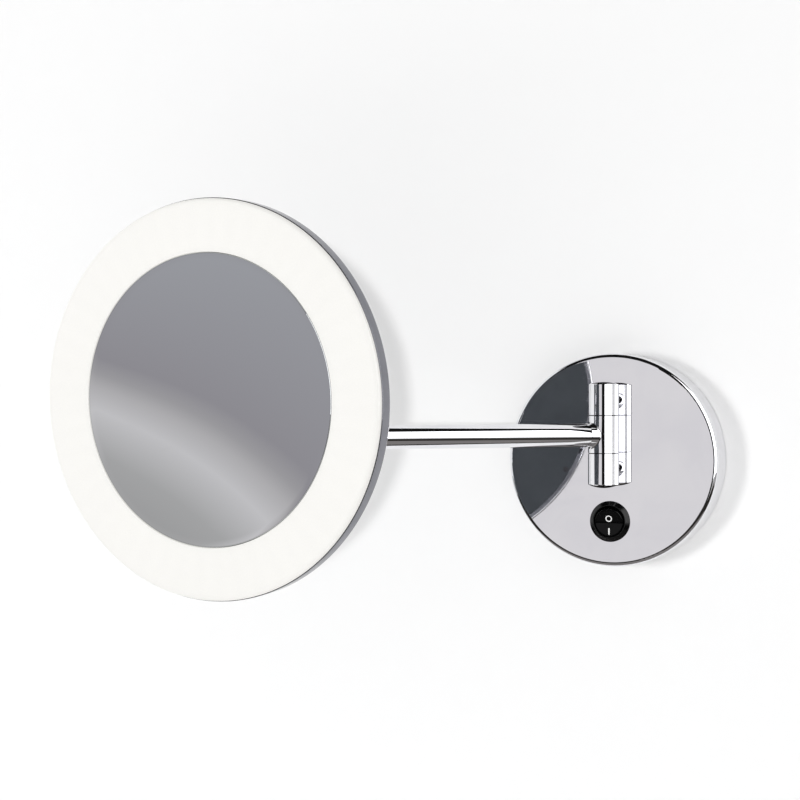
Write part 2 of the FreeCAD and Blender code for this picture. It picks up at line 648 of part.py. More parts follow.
# ---- Swivel ----------------------------------------------------------------------------------
def yoke():
    """A round base with two ears for the tilt bolt."""
    base = rod(END_R, YOKE_BASE_T, V(0, 0, YOKE_LOW), Z_AXIS)
    post_h = TILT_RISE - YOKE_LOW
    for side in (-1, 1):
        inner_x = side * EAR_INNER_X
        post = block((EAR_T, 2 * EAR_R, post_h), V(inner_x + side * EAR_T / 2, 0, YOKE_LOW + post_h / 2))
        eye = rod(EAR_R, EAR_T, V(inner_x, 0, TILT_RISE), V(side, 0, 0))
        base = base.fuse(post.fuse(eye).common(rod(END_R, REACH, V(0, 0, 0), Z_AXIS)))
    base = base.cut(rod(TILT_BOLT_R, REACH, V(-REACH / 2, 0, TILT_RISE), X_AXIS))
    return base.cut(rod(SWIVEL_PIN_R, YOKE_FLOOR, V(0, 0, 0), Z_AXIS)).removeSplitter()


def swivel_pin():
    """The hollow swivel pin, with a window towards the arm for the lead."""
    base = V(0, 0, SWIVEL_PIN_LOW)
    pin = ring(SWIVEL_PIN_R, SWIVEL_BORE_R, YOKE_FLOOR - SWIVEL_PIN_LOW, base, Z_AXIS)
    return pin.cut(block((10, 6, 6.4), V(0, 1.4, 0.4)))


def disc_spring():
    """The conical spring washer over the swivel's nut."""
    cone = Part.makeCone(6.1, 4.6, 0.9, V(0, 0, SWIVEL_NUT_TOP))
    return cone.cut(rod(SWIVEL_PIN_R + RUN, REACH, V(0, 0, -REACH / 2), Z_AXIS))


def swivel_nut():
    """A round nut with four spanner slots in its lower face."""
    base = V(0, 0, SWIVEL_PIN_LOW)
    nut = ring(SWIVEL_NUT_R, SWIVEL_PIN_R, SWIVEL_NUT_TOP - SWIVEL_PIN_LOW, base, Z_AXIS)
    hub = rod(SWIVEL_PIN_R + 0.3, REACH, V(0, 0, -REACH / 2), Z_AXIS)
    slot_h = 1.0
    for size in ((14, 1.6, slot_h), (1.6, 14, slot_h)):
        nut = nut.cut(block(size, V(0, 0, SWIVEL_PIN_LOW + slot_h / 2)).cut(hub))
    return nut


def tilt_bolt():
    """A shoulder bolt with a domed head, and the domed nut on its other end."""
    ball_x = EAR_OUTER_X + TILT_HEAD_H - TILT_HEAD_BALL_R
    shank = rod(TILT_BOLT_R, 2 * EAR_OUTER_X, V(-EAR_OUTER_X, 0, 0), X_AXIS)
    dome = Part.makeSphere(TILT_HEAD_BALL_R, V(ball_x, 0, 0))
    head = dome.common(rod(TILT_HEAD_R, REACH, V(EAR_OUTER_X, 0, 0), X_AXIS))
    socket = hexagon(3.0, 2.0, V(EAR_OUTER_X + 1.2, 0, 0), X_AXIS)
    tail = rod(TILT_BOLT_R - 0.5, 1.8, V(-EAR_OUTER_X, 0, 0), -X_AXIS)
    far_dome = Part.makeSphere(TILT_HEAD_BALL_R, V(-ball_x, 0, 0))
    nut = far_dome.common(rod(TILT_HEAD_R, REACH, V(-EAR_OUTER_X, 0, 0), -X_AXIS))
    bolt = shank.fuse(head).removeSplitter().cut(socket).fuse(tail).removeSplitter()
    return bolt, nut.cut(tail)


def tilt_washers():
    """The friction washers between the lug and the yoke's ears."""
    washers = []
    for side in (-1, 1):
        base = V(side * (LUG_HALF_T + RUN), 0, 0)
        washers.append(ring(5.6, TILT_BOLT_R + RUN, 0.5, base, V(side, 0, 0)))
    return washers


def swivel_place():
    """The swivel's frame in the world."""
    end = at(HINGE_X, HINGE_Y, ARM_Z, Z_AXIS, ARM_TURN).multVec(V(ARM_L, 0, 0))
    return at(end.x, end.y, end.z, Z_AXIS, HEAD_YAW)


def swivel():
    """The swivel between the arm and the head."""
    place = swivel_place()
    washer = ring(END_R - 0.3, SWIVEL_PIN_R + RUN, YOKE_WASHER_T, V(0, 0, END_TOP), Z_AXIS)
    save("swivel_washer", washer, place)
    save("swivel_yoke", yoke(), place)
    save("swivel_pin", swivel_pin(), place)
    save("swivel_disc_spring", disc_spring(), place)
    save("swivel_nut", swivel_nut(), place)
    tilt = place.multiply(at(0, 0, TILT_RISE))
    bolt, cap_nut = tilt_bolt()
    save("tilt_bolt", bolt, tilt)
    save("tilt_cap_nut", cap_nut, tilt)
    save("tilt_washers", tilt_washers(), tilt)


# ---- Head ------------------------------------------------------------------------------------
def polar_places(count, radius, first_angle):
    """Points (x, z) evenly round a circle."""
    angles = [math.radians(first_angle + 360 * i / count) for i in range(count)]
    return [(radius * math.cos(a), radius * math.sin(a)) for a in angles]


LUG_SCREW_PLACES = polar_places(4, LUG_SCREW_PCD / 2, 45)
COVER_SCREW_PLACES = polar_places(COVER_SCREW_COUNT, COVER_R - 2.6, 30)


def tilt_lug():
    """The lug: an eye on the tilt bolt, a neck and a round flange on the head's back."""
    eye = rod(EAR_R, 2 * LUG_HALF_T, V(-LUG_HALF_T, 0, 0), X_AXIS)
    neck = block((2 * LUG_HALF_T, -HEAD_BACK_Y, NECK_H), V(0, HEAD_BACK_Y / 2, 0))
    flange = round_edge(disc_out(FLANGE_R, FLANGE_BACK_Y, HEAD_BACK_Y), FLANGE_BACK_Y, 1.2)
    lug = eye.fuse(neck).fuse(flange).removeSplitter()
    lug = lug.cut(rod(TILT_BOLT_R + RUN, REACH, V(-REACH / 2, 0, 0), X_AXIS))
    lug = lug.cut(disc_out(HEAD_LEAD_PASS_R, RISER_Y, -REACH))
    lug = lug.cut(rod(HEAD_LEAD_PASS_R, REACH, V(0, RISER_Y, 0.9), -Z_AXIS))
    for x, z in LUG_SCREW_PLACES:
        mouth = V(x, FLANGE_BACK_Y, z)
        lug = lug.cut(through(LUG_SCREW_R + RUN, x, z))
        lug = lug.cut(Part.makeCone(LUG_SCREW_HEAD_R, LUG_SCREW_R + RUN, 1.5, mouth, OUTWARD))
    return lug


def rear_cover():
    """The dark cover sheet over the head's back."""
    cover = round_edge(disc_out(COVER_R, HEAD_BACK_Y, COVER_FRONT_Y), HEAD_BACK_Y, 0.4)
    cover = cover.cut(through(HEAD_LEAD_PASS_R))
    for x, z in LUG_SCREW_PLACES:
        cover = cover.cut(through(LUG_SCREW_R + RUN, x, z))
    for x, z in COVER_SCREW_PLACES:
        cover = cover.cut(Part.makeCone(2.0, 1.25, 0.8, V(x, HEAD_BACK_Y, z), OUTWARD))
        cover = cover.cut(through(1.3, x, z))
    return cover


def chrome_rim():
    """The chrome rim: a thin wall with a shelf inside for the cover and the board."""
    inner = RIM_R - RIM_T
    step = COVER_R + 0.1
    outline = [
        (RIM_R, RIM_BACK_Y - RIM_NOSE), (RIM_R, RIM_FRONT_Y), (inner, RIM_FRONT_Y), (inner, SHELF_Y),
        (RIM_SHELF_R, SHELF_Y), (RIM_SHELF_R, COVER_FRONT_Y), (step, COVER_FRONT_Y), (step, RIM_BACK_Y),
        (RIM_R - RIM_NOSE, RIM_BACK_Y),
    ]
    rim = revolve(outline)
    for x, z in COVER_SCREW_PLACES:
        rim = rim.cut(disc_out(1.25, 0, SHELF_Y - 0.1, x, z))
    return rim


def light_ring():
    """The opal ring: a flat face, a rounded outer edge and a locating lip behind it."""
    steps = 6
    outline = [(RING_HOLE_R, FRONT_Y + 0.3), (RING_HOLE_R + 0.3, FRONT_Y)]
    for i in range(steps + 1):
        angle = math.radians(90 * i / steps)
        outline.append((RING_R - RING_ROUND_R + RING_ROUND_R * math.sin(angle),
                        FRONT_Y + RING_ROUND_R - RING_ROUND_R * math.cos(angle)))
    lip_out = RIM_R - RIM_T - 0.15
    lip_in = lip_out - LIP_T
    lip_y = RIM_FRONT_Y + LIP_DEPTH
    outline += [(RING_R, RIM_FRONT_Y), (lip_out, RIM_FRONT_Y), (lip_out, lip_y), (lip_in, lip_y)]
    outline += [(lip_in, RIM_FRONT_Y), (RING_HOLE_R, RIM_FRONT_Y)]
    return revolve(outline)


def glass_ball(offset):
    """The ball that shapes the concave glass, its surface moved back by an offset."""
    edge_sag = GLASS_SPHERE_R - math.sqrt(GLASS_SPHERE_R ** 2 - GLASS_R ** 2)
    return Part.makeSphere(GLASS_SPHERE_R + offset, V(0, GLASS_EDGE_Y + edge_sag - GLASS_SPHERE_R, 0))


def mirror_glass():
    """The slumped concave glass, the same thickness all over."""
    blank = disc_out(GLASS_R, COVER_FRONT_Y, FRONT_Y)
    return blank.common(glass_ball(GLASS_T)).cut(glass_ball(0))


def mirror_pad():
    """The foam ring that holds the glass off the cover, slit below for the lead."""
    pad = washer_out(PAD_R, PAD_HOLE_R, COVER_FRONT_Y - RUN, FRONT_Y).cut(glass_ball(GLASS_T + RUN))
    return pad.cut(block((4, 20, 80), V(0, COVER_FRONT_Y, -60)))


def backing_plate():
    """The plate inside the cover that the lug's screws bite into."""
    plate = disc_out(BACKING_R, COVER_FRONT_Y, COVER_FRONT_Y - BACKING_T).cut(through(HEAD_LEAD_PASS_R))
    plate = plate.cut(block((3, 4, 40), V(0, HEAD_LEAD_Y, -20)))
    for x, z in LUG_SCREW_PLACES:
        plate = plate.cut(through(LUG_SCREW_R, x, z))
    return plate


def light_baffle():
    """The thin wall between the glass and the lit chamber, open below for the lead."""
    baffle = washer_out(BAFFLE_R, BAFFLE_R - BAFFLE_T, COVER_FRONT_Y - RUN, RIM_FRONT_Y + RUN)
    return baffle.cut(block((4, 20, 10), V(0, COVER_FRONT_Y + 8.1, -BAFFLE_R)))


def leds():
    """The light-emitting diodes round the board."""
    pieces = []
    for i in range(LED_COUNT):
        led = block(LED_SIZE, V(0, BOARD_Y - LED_SIZE[1] / 2, LED_PITCH_R))
        led.rotate(V(0, 0, 0), Y_AXIS, 360.0 * (i + 0.5) / LED_COUNT)
        pieces.append(led)
    return pieces


def head_lead():
    """The lead from under the tilt bolt, through the lug and down behind the glass."""
    points = [V(0, RISER_Y, -4.5), V(0, RISER_Y, 0), V(0, HEAD_LEAD_Y, 0), V(0, HEAD_LEAD_Y, -76)]
    return lead(points, 0.85, HEAD_LEAD_R)


def head():
    """The lit head."""
    place = swivel_place().multiply(at(0, 0, TILT_RISE, X_AXIS, HEAD_PITCH))
    save("tilt_lug", tilt_lug(), place)
    save("lug_screws", [countersunk(LUG_SCREW_R, 2.9, 1.4, 5.2, V(x, FLANGE_BACK_Y - RUN, z), OUTWARD)
                        for x, z in LUG_SCREW_PLACES], place)
    save("rear_cover", rear_cover(), place)
    save("rear_cover_screws", [countersunk(1.2, 1.9, 0.75, 2.3, V(x, HEAD_BACK_Y - 0.03, z), OUTWARD)
                               for x, z in COVER_SCREW_PLACES], place)
    save("head_backing_plate", backing_plate(), place)
    save("chrome_rim", chrome_rim(), place)
    save("led_board", washer_out(BOARD_OUTER_R, BOARD_INNER_R, SHELF_Y, BOARD_Y), place)
    save("leds", leds(), place)
    save("light_baffle", light_baffle(), place)
    save("light_ring", light_ring(), place)
    seal_y = RIM_FRONT_Y + LIP_DEPTH + RUN
    save("ring_seal", washer_out(98.3, 96.4, SHELF_Y - RUN, seal_y), place)
    save("mirror_glass", mirror_glass(), place)
    save("mirror_pad", mirror_pad(), place)
    save("board_connector", block(CONNECTOR_SIZE, V(0, BOARD_Y - CONNECTOR_SIZE[1] / 2, CONNECTOR_Z)), place)
    save("head_lead", head_lead(), place)


os.makedirs("parts", exist_ok=True)
wall_unit()
switch()
arm()
swivel()
head()
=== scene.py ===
"""Looks of the wall-mounted lit shaving mirror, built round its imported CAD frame. Metres."""
import json
import math

import bmesh
import bpy
from mathutils import Matrix, Vector


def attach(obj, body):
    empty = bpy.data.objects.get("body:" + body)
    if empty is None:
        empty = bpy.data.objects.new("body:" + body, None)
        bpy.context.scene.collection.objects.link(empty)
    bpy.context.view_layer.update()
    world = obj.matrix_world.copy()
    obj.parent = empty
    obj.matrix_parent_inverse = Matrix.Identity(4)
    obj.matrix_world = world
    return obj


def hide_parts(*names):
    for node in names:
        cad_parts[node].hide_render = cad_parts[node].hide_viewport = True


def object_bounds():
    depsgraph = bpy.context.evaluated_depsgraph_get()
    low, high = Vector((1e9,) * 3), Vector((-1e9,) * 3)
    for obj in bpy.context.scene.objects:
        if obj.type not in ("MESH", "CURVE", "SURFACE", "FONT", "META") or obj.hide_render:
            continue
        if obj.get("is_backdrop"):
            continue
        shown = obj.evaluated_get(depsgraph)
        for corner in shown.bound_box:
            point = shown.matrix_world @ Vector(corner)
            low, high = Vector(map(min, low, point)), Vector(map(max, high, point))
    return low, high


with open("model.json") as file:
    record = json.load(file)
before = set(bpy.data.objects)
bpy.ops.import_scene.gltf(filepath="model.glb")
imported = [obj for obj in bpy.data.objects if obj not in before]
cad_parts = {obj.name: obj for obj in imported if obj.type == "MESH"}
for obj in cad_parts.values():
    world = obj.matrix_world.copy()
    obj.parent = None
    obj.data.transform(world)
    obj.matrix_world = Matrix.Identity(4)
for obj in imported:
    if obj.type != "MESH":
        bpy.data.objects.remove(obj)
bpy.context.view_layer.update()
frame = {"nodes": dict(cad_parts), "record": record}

nodes = frame["nodes"]
joints = {j["name"]: j for j in frame["record"]["behaviour"]["joints"]}
MM = 0.001


def turn(degrees, axis):
    """A rotation about one of the main axes."""
    return Matrix.Rotation(math.radians(degrees), 4, axis)


# ---- Camera --------------------------------------------------------------------------------
CAMERA_PLACE = (0.2386, -1.01415, 0.0337)
CAMERA_YAW = 20.26
LENS, SENSOR_WIDTH, CLIP_START = 81.0, 36.0, 0.01         # the first two in millimetres
camera_data = bpy.data.cameras.new("camera")
camera_data.lens = LENS
camera_data.sensor_width = SENSOR_WIDTH
camera_data.clip_start = CLIP_START
camera = bpy.data.objects.new("camera", camera_data)
bpy.context.scene.collection.objects.link(camera)
camera.matrix_world = Matrix.Translation(CAMERA_PLACE) @ turn(CAMERA_YAW, "Z") @ turn(90, "X")
bpy.context.scene.camera = camera
bpy.context.scene.view_settings.view_transform = "Standard"


# ---- Frames --------------------------------------------------------------------------------
hinge = Vector(joints["arm_swing"]["pos_m"])
swivel = Vector(joints["head_pan"]["pos_m"])
tilt = Vector(joints["head_tilt"]["pos_m"])
pivot = Vector(joints["switch_rock"]["pos_m"])
tilt_axis = joints["head_tilt"]["axis"]
ARM_AXIS = swivel - hinge
ARM_TURN = math.degrees(math.atan2(ARM_AXIS.y, ARM_AXIS.x))
HEAD_YAW = math.degrees(math.atan2(tilt_axis[1], tilt_axis[0]))
HEAD_PITCH = 2.0                           # how far the head leans at rest
ROCKER_THROW = 8.0                         # how far the rocker leans to either side
OUTWARD = turn(90, "X")                    # turns Z to point out of the wall
HEAD = Matrix.Translation(tilt) @ turn(HEAD_YAW, "Z") @ turn(HEAD_PITCH, "X")
ALONG_ARM = Matrix.Translation(hinge) @ turn(ARM_TURN, "Z") @ turn(90, "Y")
ROCKER = Matrix.Translation(pivot) @ turn(ROCKER_THROW, "X")
SWITCH = Matrix.Translation((pivot.x, 0, pivot.z)) @ OUTWARD


# ---- Material helpers ----------------------------------------------------------------------
def new_material(name):
    """A material, its tree and its surface shader."""
    material = bpy.data.materials.new(name)
    material.use_nodes = True
    return material, material.node_tree, material.node_tree.nodes["Principled BSDF"]


def add(tree, kind, **values):
    """A node with its inputs set by name, or its properties where no input has that name."""
    node = tree.nodes.new(kind)
    for key, value in values.items():
        socket = key.replace("_", " ").title()
        if socket in node.inputs:
            node.inputs[socket].default_value = value
        else:
            setattr(node, key, value)
    return node


def coordinates(tree, place=None, stretch=(1, 1, 1)):
    """The object's own coordinates, seen from a frame if one is given, and stretched."""
    source = add(tree, "ShaderNodeTexCoord").outputs["Object"]
    if place is not None:
        mapping = add(tree, "ShaderNodeMapping", vector_type="TEXTURE", location=place.translation,
                      rotation=place.to_euler())
        tree.links.new(source, mapping.inputs["Vector"])
        source = mapping.outputs[0]
    if stretch != (1, 1, 1):
        mapping = add(tree, "ShaderNodeMapping", scale=stretch)
        tree.links.new(source, mapping.inputs["Vector"])
        source = mapping.outputs[0]
    return source


def noise(tree, where, scale, detail=3.0, distortion=0.0):
    """A noise pattern of a scale per metre."""
    node = add(tree, "ShaderNodeTexNoise", scale=scale, detail=detail, distortion=distortion)
    tree.links.new(where, node.inputs["Vector"])
    return node.outputs["Fac"]


def spread(tree, fac, low, high, start=0.3, end=0.7):
    """A pattern's value spread between two numbers."""
    node = add(tree, "ShaderNodeMapRange")
    node.interpolation_type = "SMOOTHSTEP"
    for key, value in (("From Min", start), ("From Max", end), ("To Min", low), ("To Max", high)):
        node.inputs[key].default_value = value
    tree.links.new(fac, node.inputs["Value"])
    return node.outputs["Result"]


def spread_straight(tree, fac, low, high):
    """A value's straight spread from 0 at low to 1 at high."""
    node = add(tree, "ShaderNodeMapRange")
    node.inputs["From Min"].default_value = low
    node.inputs["From Max"].default_value = high
    tree.links.new(fac, node.inputs["Value"])
    return node.outputs["Result"]


MIX_COLOURS_IN, MIX_COLOUR_OUT = (6, 7), 2     # the Mix node's colour sockets


def blend_colours(tree, fac, first, second):
    """A colour between two by a pattern."""
    node = add(tree, "ShaderNodeMix", data_type="RGBA")
    tree.links.new(fac, node.inputs["Factor"])
    for socket, colour in zip(MIX_COLOURS_IN, (first, second)):
        node.inputs[socket].default_value = (*colour, 1)
    return node.outputs[MIX_COLOUR_OUT]


def base_colour(tree, bsdf, fac, first, second):
    """A base colour between two by a pattern."""
    tree.links.new(blend_colours(tree, fac, first, second), bsdf.inputs["Base Color"])


def maths(tree, operation, first, second):
    """One sum on two values, each a socket or a number."""
    node = add(tree, "ShaderNodeMath", operation=operation)
    for socket, value in zip(node.inputs, (first, second)):
        if isinstance(value, (int, float)):
            socket.default_value = value
        else:
            tree.links.new(value, socket)
    return node.outputs[0]


def bump(tree, bsdf, height, depth):
    """A bump of a depth in metres."""
    node = add(tree, "ShaderNodeBump", strength=1.0, distance=depth)
    tree.links.new(height, node.inputs["Height"])
    tree.links.new(node.outputs[0], bsdf.inputs["Normal"])


# ---- Materials -----------------------------------------------------------------------------
WAVINESS = 8e-6            # of the metal below the plating
SCRATCH_ROUGHNESS = 0.06
OPAL_GLOW = 0.50


def plated(name, bright, dull, rough=(0.015, 0.05), place=None, grain=(1, 1, 1)):
    """Polished plating: faint haze and wipe marks, fine scratches and a slight waviness."""
    material, tree, bsdf = new_material(name)
    bsdf.inputs["Metallic"].default_value = 1.0
    where = coordinates(tree, place)
    haze = noise(tree, where, 34.0, 5.0, 0.6)
    base_colour(tree, bsdf, spread(tree, haze, 0, 1), bright, dull)
    wiped = noise(tree, coordinates(tree, place, (1.0, 1.0, 7.0)), 60.0, 6.0, 1.2)
    scratches = noise(tree, coordinates(tree, place, grain), 900.0, 2.0)
    marks = maths(tree, "MULTIPLY", spread(tree, scratches, 0, 1, 0.62, 0.8), SCRATCH_ROUGHNESS)
    smears = spread(tree, wiped, rough[0], rough[1], 0.45, 0.75)
    tree.links.new(maths(tree, "ADD", smears, marks), bsdf.inputs["Roughness"])
    bump(tree, bsdf, noise(tree, where, 55.0, 2.0), WAVINESS)
    return material


def turned(name, colour, dark, rough=(0.25, 0.42), scale=1500.0, depth=6e-6):
    """Machined or zinc-plated metal: fine tool marks and a dull, uneven passivation."""
    material, tree, bsdf = new_material(name)
    bsdf.inputs["Metallic"].default_value = 1.0
    where = coordinates(tree)
    stain = noise(tree, where, 120.0, 5.0, 0.8)
    base_colour(tree, bsdf, spread(tree, stain, 0, 1), dark, colour)
    fine = noise(tree, where, scale, 4.0)
    tree.links.new(spread(tree, fine, rough[0], rough[1]), bsdf.inputs["Roughness"])
    bump(tree, bsdf, fine, depth)
    return material


def moulded(name, colour, second, rough=(0.3, 0.45), scale=2200.0, depth=4e-6, coat=0.0,
            gloss=0.5):
    """Moulded plastic or rubber: a spark-eroded grain, slight flow marks and handling polish."""
    material, tree, bsdf = new_material(name)
    where = coordinates(tree)
    flow = noise(tree, where, 70.0, 3.0, 1.0)
    base_colour(tree, bsdf, spread(tree, flow, 0, 1), colour, second)
    grain = noise(tree, where, scale, 5.0)
    handled = noise(tree, where, 240.0, 4.0)
    tree.links.new(spread(tree, handled, rough[0], rough[1]), bsdf.inputs["Roughness"])
    bsdf.inputs["Specular IOR Level"].default_value = gloss
    bsdf.inputs["Coat Weight"].default_value = coat
    bsdf.inputs["Coat Roughness"].default_value = 0.05
    bump(tree, bsdf, grain, depth)
    return material


def powder_coat(name, colour, second):
    """Satin powder coat: an orange-peel skin and a slowly varying tone."""
    material, tree, bsdf = new_material(name)
    where = coordinates(tree)
    peel = noise(tree, where, 1100.0, 3.0)
    tone = noise(tree, where, 25.0, 3.0)
    base_colour(tree, bsdf, spread(tree, tone, 0, 1), colour, second)
    tree.links.new(spread(tree, peel, 0.38, 0.55), bsdf.inputs["Roughness"])
    bsdf.inputs["Metallic"].default_value = 0.25
    bump(tree, bsdf, peel, 2.5e-5)
    return material


def foam(name, colour, second):
    """Closed-cell foam: round cells, each darker towards its sunken middle, a painted shade in the
    hollows.
    """
    material, tree, bsdf = new_material(name)
    cells = add(tree, "ShaderNodeTexVoronoi", scale=900.0)
    tree.links.new(coordinates(tree), cells.inputs["Vector"])
    depth = cells.outputs["Distance"]
    # painted shade: each cell is darker towards its sunken middle, where the bump is lowest
    base_colour(tree, bsdf, spread(tree, depth, 0, 1, 0.1, 0.6), second, colour)
    tree.links.new(spread(tree, depth, 0.75, 0.95, 0.0, 0.8), bsdf.inputs["Roughness"])
    bump(tree, bsdf, depth, 1.5e-4)
    return material


def radius_from(tree, place):
    """The distance from a frame's Y axis."""
    split = add(tree, "ShaderNodeSeparateXYZ")
    tree.links.new(coordinates(tree, place), split.inputs[0])
    squares = maths(tree, "ADD", maths(tree, "POWER", split.outputs["X"], 2.0),
                    maths(tree, "POWER", split.outputs["Z"], 2.0))
    return maths(tree, "SQRT", squares, 0.0), split


def silvered(name):
    """Silvered glass: an even silver, a darker ground edge, and the faintest wipe marks."""
    material, tree, bsdf = new_material(name)
    bsdf.inputs["Metallic"].default_value = 1.0
    radius, _ = radius_from(tree, HEAD)
    edge = spread(tree, radius, 0, 1, 72.2 * MM, 73.0 * MM)
    base_colour(tree, bsdf, edge, (0.90, 0.905, 0.92), (0.45, 0.47, 0.48))
    wiped = noise(tree, coordinates(tree, HEAD, (1.0, 1.0, 5.0)), 18.0, 6.0, 1.5)
    tree.links.new(spread(tree, wiped, 0.0, 0.03, 0.5, 0.8), bsdf.inputs["Roughness"])
    return material


def opal_acrylic(name, lamps, pitch_r):
    """Lit opal acrylic: a soft glow with a trace of each lamp, falling off at its edges."""
    material, tree, bsdf = new_material(name)
    radius, split = radius_from(tree, HEAD)
    angle = maths(tree, "ARCTAN2", split.outputs["Z"], split.outputs["X"])
    spot = maths(tree, "COSINE", maths(tree, "MULTIPLY", angle, float(lamps)), 0.0)
    outer = spread(tree, radius, 1.0, 0.93, pitch_r + 10 * MM, pitch_r + 13.6 * MM)
    inner = spread(tree, radius, 0.95, 1.0, pitch_r - 12.8 * MM, pitch_r - 9 * MM)
    glow = maths(tree, "MULTIPLY", maths(tree, "MULTIPLY", outer, inner),
                 maths(tree, "ADD", maths(tree, "MULTIPLY", spot, 0.006), 1.0))
    cloud = spread(tree, noise(tree, coordinates(tree), 14.0, 2.0), 0.985, 1.0)
    tree.links.new(maths(tree, "MULTIPLY", maths(tree, "MULTIPLY", glow, cloud), OPAL_GLOW),
                   bsdf.inputs["Emission Strength"])
    bsdf.inputs["Emission Color"].default_value = (1.0, 0.98, 0.93, 1)
    fine = noise(tree, coordinates(tree), 2600.0, 3.0)
    base_colour(tree, bsdf, spread(tree, fine, 0, 1), (0.38, 0.38, 0.375), (0.41, 0.41, 0.405))
    tree.links.new(spread(tree, fine, 0.28, 0.36), bsdf.inputs["Roughness"])
    bump(tree, bsdf, fine, 2e-6)
    return material


LED_COUNT = 48
LED_PITCH_R = 86 * MM
BLACK, BLACK_WORN = (0.001, 0.001, 0.0012), (0.002, 0.002, 0.0023)
MATERIALS = {
    "chrome_plate": plated("chrome_plate", (0.83, 0.83, 0.85), (0.79, 0.79, 0.82)),
    "chrome_hinge": plated("chrome_hinge", (0.84, 0.84, 0.86), (0.80, 0.80, 0.83)),
    "chrome_tube": plated("chrome_tube", (0.84, 0.84, 0.86), (0.80, 0.80, 0.83), place=ALONG_ARM,
                          grain=(1.0, 1.0, 0.03)),
    "chrome_joint": plated("chrome_joint", (0.83, 0.83, 0.85), (0.78, 0.78, 0.81)),
    # chrome_rim: chrome with a dark base colour, a painted dark reflection on the rim's side
    "chrome_rim": plated("chrome_rim", (0.22, 0.222, 0.245), (0.19, 0.193, 0.216), (0.05, 0.12)),
    "screw_steel": turned("screw_steel", (0.66, 0.66, 0.67), (0.50, 0.50, 0.52)),
    "dark_steel": turned("dark_steel", (0.12, 0.12, 0.13), (0.06, 0.06, 0.065), (0.3, 0.5)),
    "zinc_plate": turned("zinc_plate", (0.68, 0.69, 0.70), (0.52, 0.54, 0.56), (0.35, 0.55), 700.0),
    "brass": turned("brass", (0.80, 0.63, 0.33), (0.62, 0.46, 0.22)),
    "bearing_bronze": turned("bearing_bronze", (0.62, 0.44, 0.25), (0.45, 0.30, 0.17), (0.4, 0.6)),
    "washer_plastic": moulded("washer_plastic", (0.006, 0.006, 0.007), (0.010, 0.010, 0.011), gloss=0.1),
    "rubber_grey": moulded("rubber_grey", (0.12, 0.12, 0.13), (0.16, 0.16, 0.165), (0.6, 0.8),
                           900.0, 2e-5),
    "foam": foam("foam", (0.84, 0.84, 0.82), (0.66, 0.66, 0.64)),
    "driver_plastic": moulded("driver_plastic", (0.86, 0.86, 0.84), (0.80, 0.80, 0.78)),
    "terminal_plastic": moulded("terminal_plastic", (0.88, 0.87, 0.82), (0.80, 0.78, 0.72)),
    "circuit_board": moulded("circuit_board", (0.04, 0.24, 0.10), (0.05, 0.30, 0.13), (0.2, 0.35),
                             coat=0.4),
    "components": moulded("components", (0.06, 0.06, 0.08), (0.10, 0.10, 0.12)),
    "lead_jacket": moulded("lead_jacket", (0.84, 0.84, 0.83), (0.78, 0.78, 0.77), (0.45, 0.6)),
    "switch_black": moulded("switch_black", BLACK, BLACK_WORN, (0.06, 0.12), gloss=0.16),
    "mark_white": moulded("mark_white", (0.90, 0.90, 0.89), (0.80, 0.80, 0.79), (0.4, 0.55)),
    "rear_anthracite": powder_coat("rear_anthracite", (0.045, 0.053, 0.062), (0.058, 0.066, 0.076)),
    "board_white": moulded("board_white", (0.92, 0.92, 0.91), (0.86, 0.86, 0.85), (0.25, 0.35)),
    "led_phosphor": moulded("led_phosphor", (0.93, 0.82, 0.40), (0.88, 0.76, 0.34), (0.3, 0.4)),
    "opal": opal_acrylic("opal", LED_COUNT, LED_PITCH_R),
    "mirror": silvered("mirror"),
}
BEZEL_BLACK = moulded("bezel_black", BLACK, BLACK_WORN, (0.16, 0.24), gloss=0.3)

for subpart in frame["record"]["subparts"]:
    mesh = nodes[subpart["node"]].data
    mesh.materials.clear()
    mesh.materials.append(MATERIALS[subpart["material_slot"]])


# ---- Mesh helpers --------------------------------------------------------------------------
def rounded(points, closed=False, steps=6):
    """The outline with its corners rounded; each point is (x, y) or (x, y, radius)."""
    result = []
    last = len(points) - 1
    for i, point in enumerate(points):
        corner = Vector(point[:2])
        radius = point[2] if len(point) > 2 else 0.0
        if radius == 0.0 or (not closed and i in (0, last)):
            result.append(corner)
            continue
        before = (Vector(points[i - 1][:2]) - corner).normalized()
        after = (Vector(points[(i + 1) % len(points)][:2]) - corner).normalized()
        half = before.angle(after) / 2
        centre = corner + (before + after).normalized() * (radius / math.sin(half))
        start = corner + before * (radius / math.tan(half)) - centre
        end = corner + after * (radius / math.tan(half)) - centre
        sweep = start.angle(end)
        for k in range(steps + 1):
            a, b = math.sin(sweep * (1 - k / steps)), math.sin(sweep * k / steps)
            result.append(centre + (start * a + end * b) / math.sin(sweep))
    return result


SHARP_ANGLE = math.radians(35)


def make_piece(name, mesh, place, body, slot, replaced, material=None):
    """A smooth piece with sharp edges kept, riding on its body in place of its CAD node."""
    mesh.shade_smooth()
    mesh.set_sharp_from_angle(angle=SHARP_ANGLE)
    if not mesh.materials:
        mesh.materials.append(material or MATERIALS[slot])
    mesh.transform(place)
    piece = bpy.data.objects.new(name, mesh)
    bpy.context.scene.collection.objects.link(piece)
    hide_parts(replaced)
    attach(piece, body)


ON_AXIS = 1e-6             # a radius too small for a ring


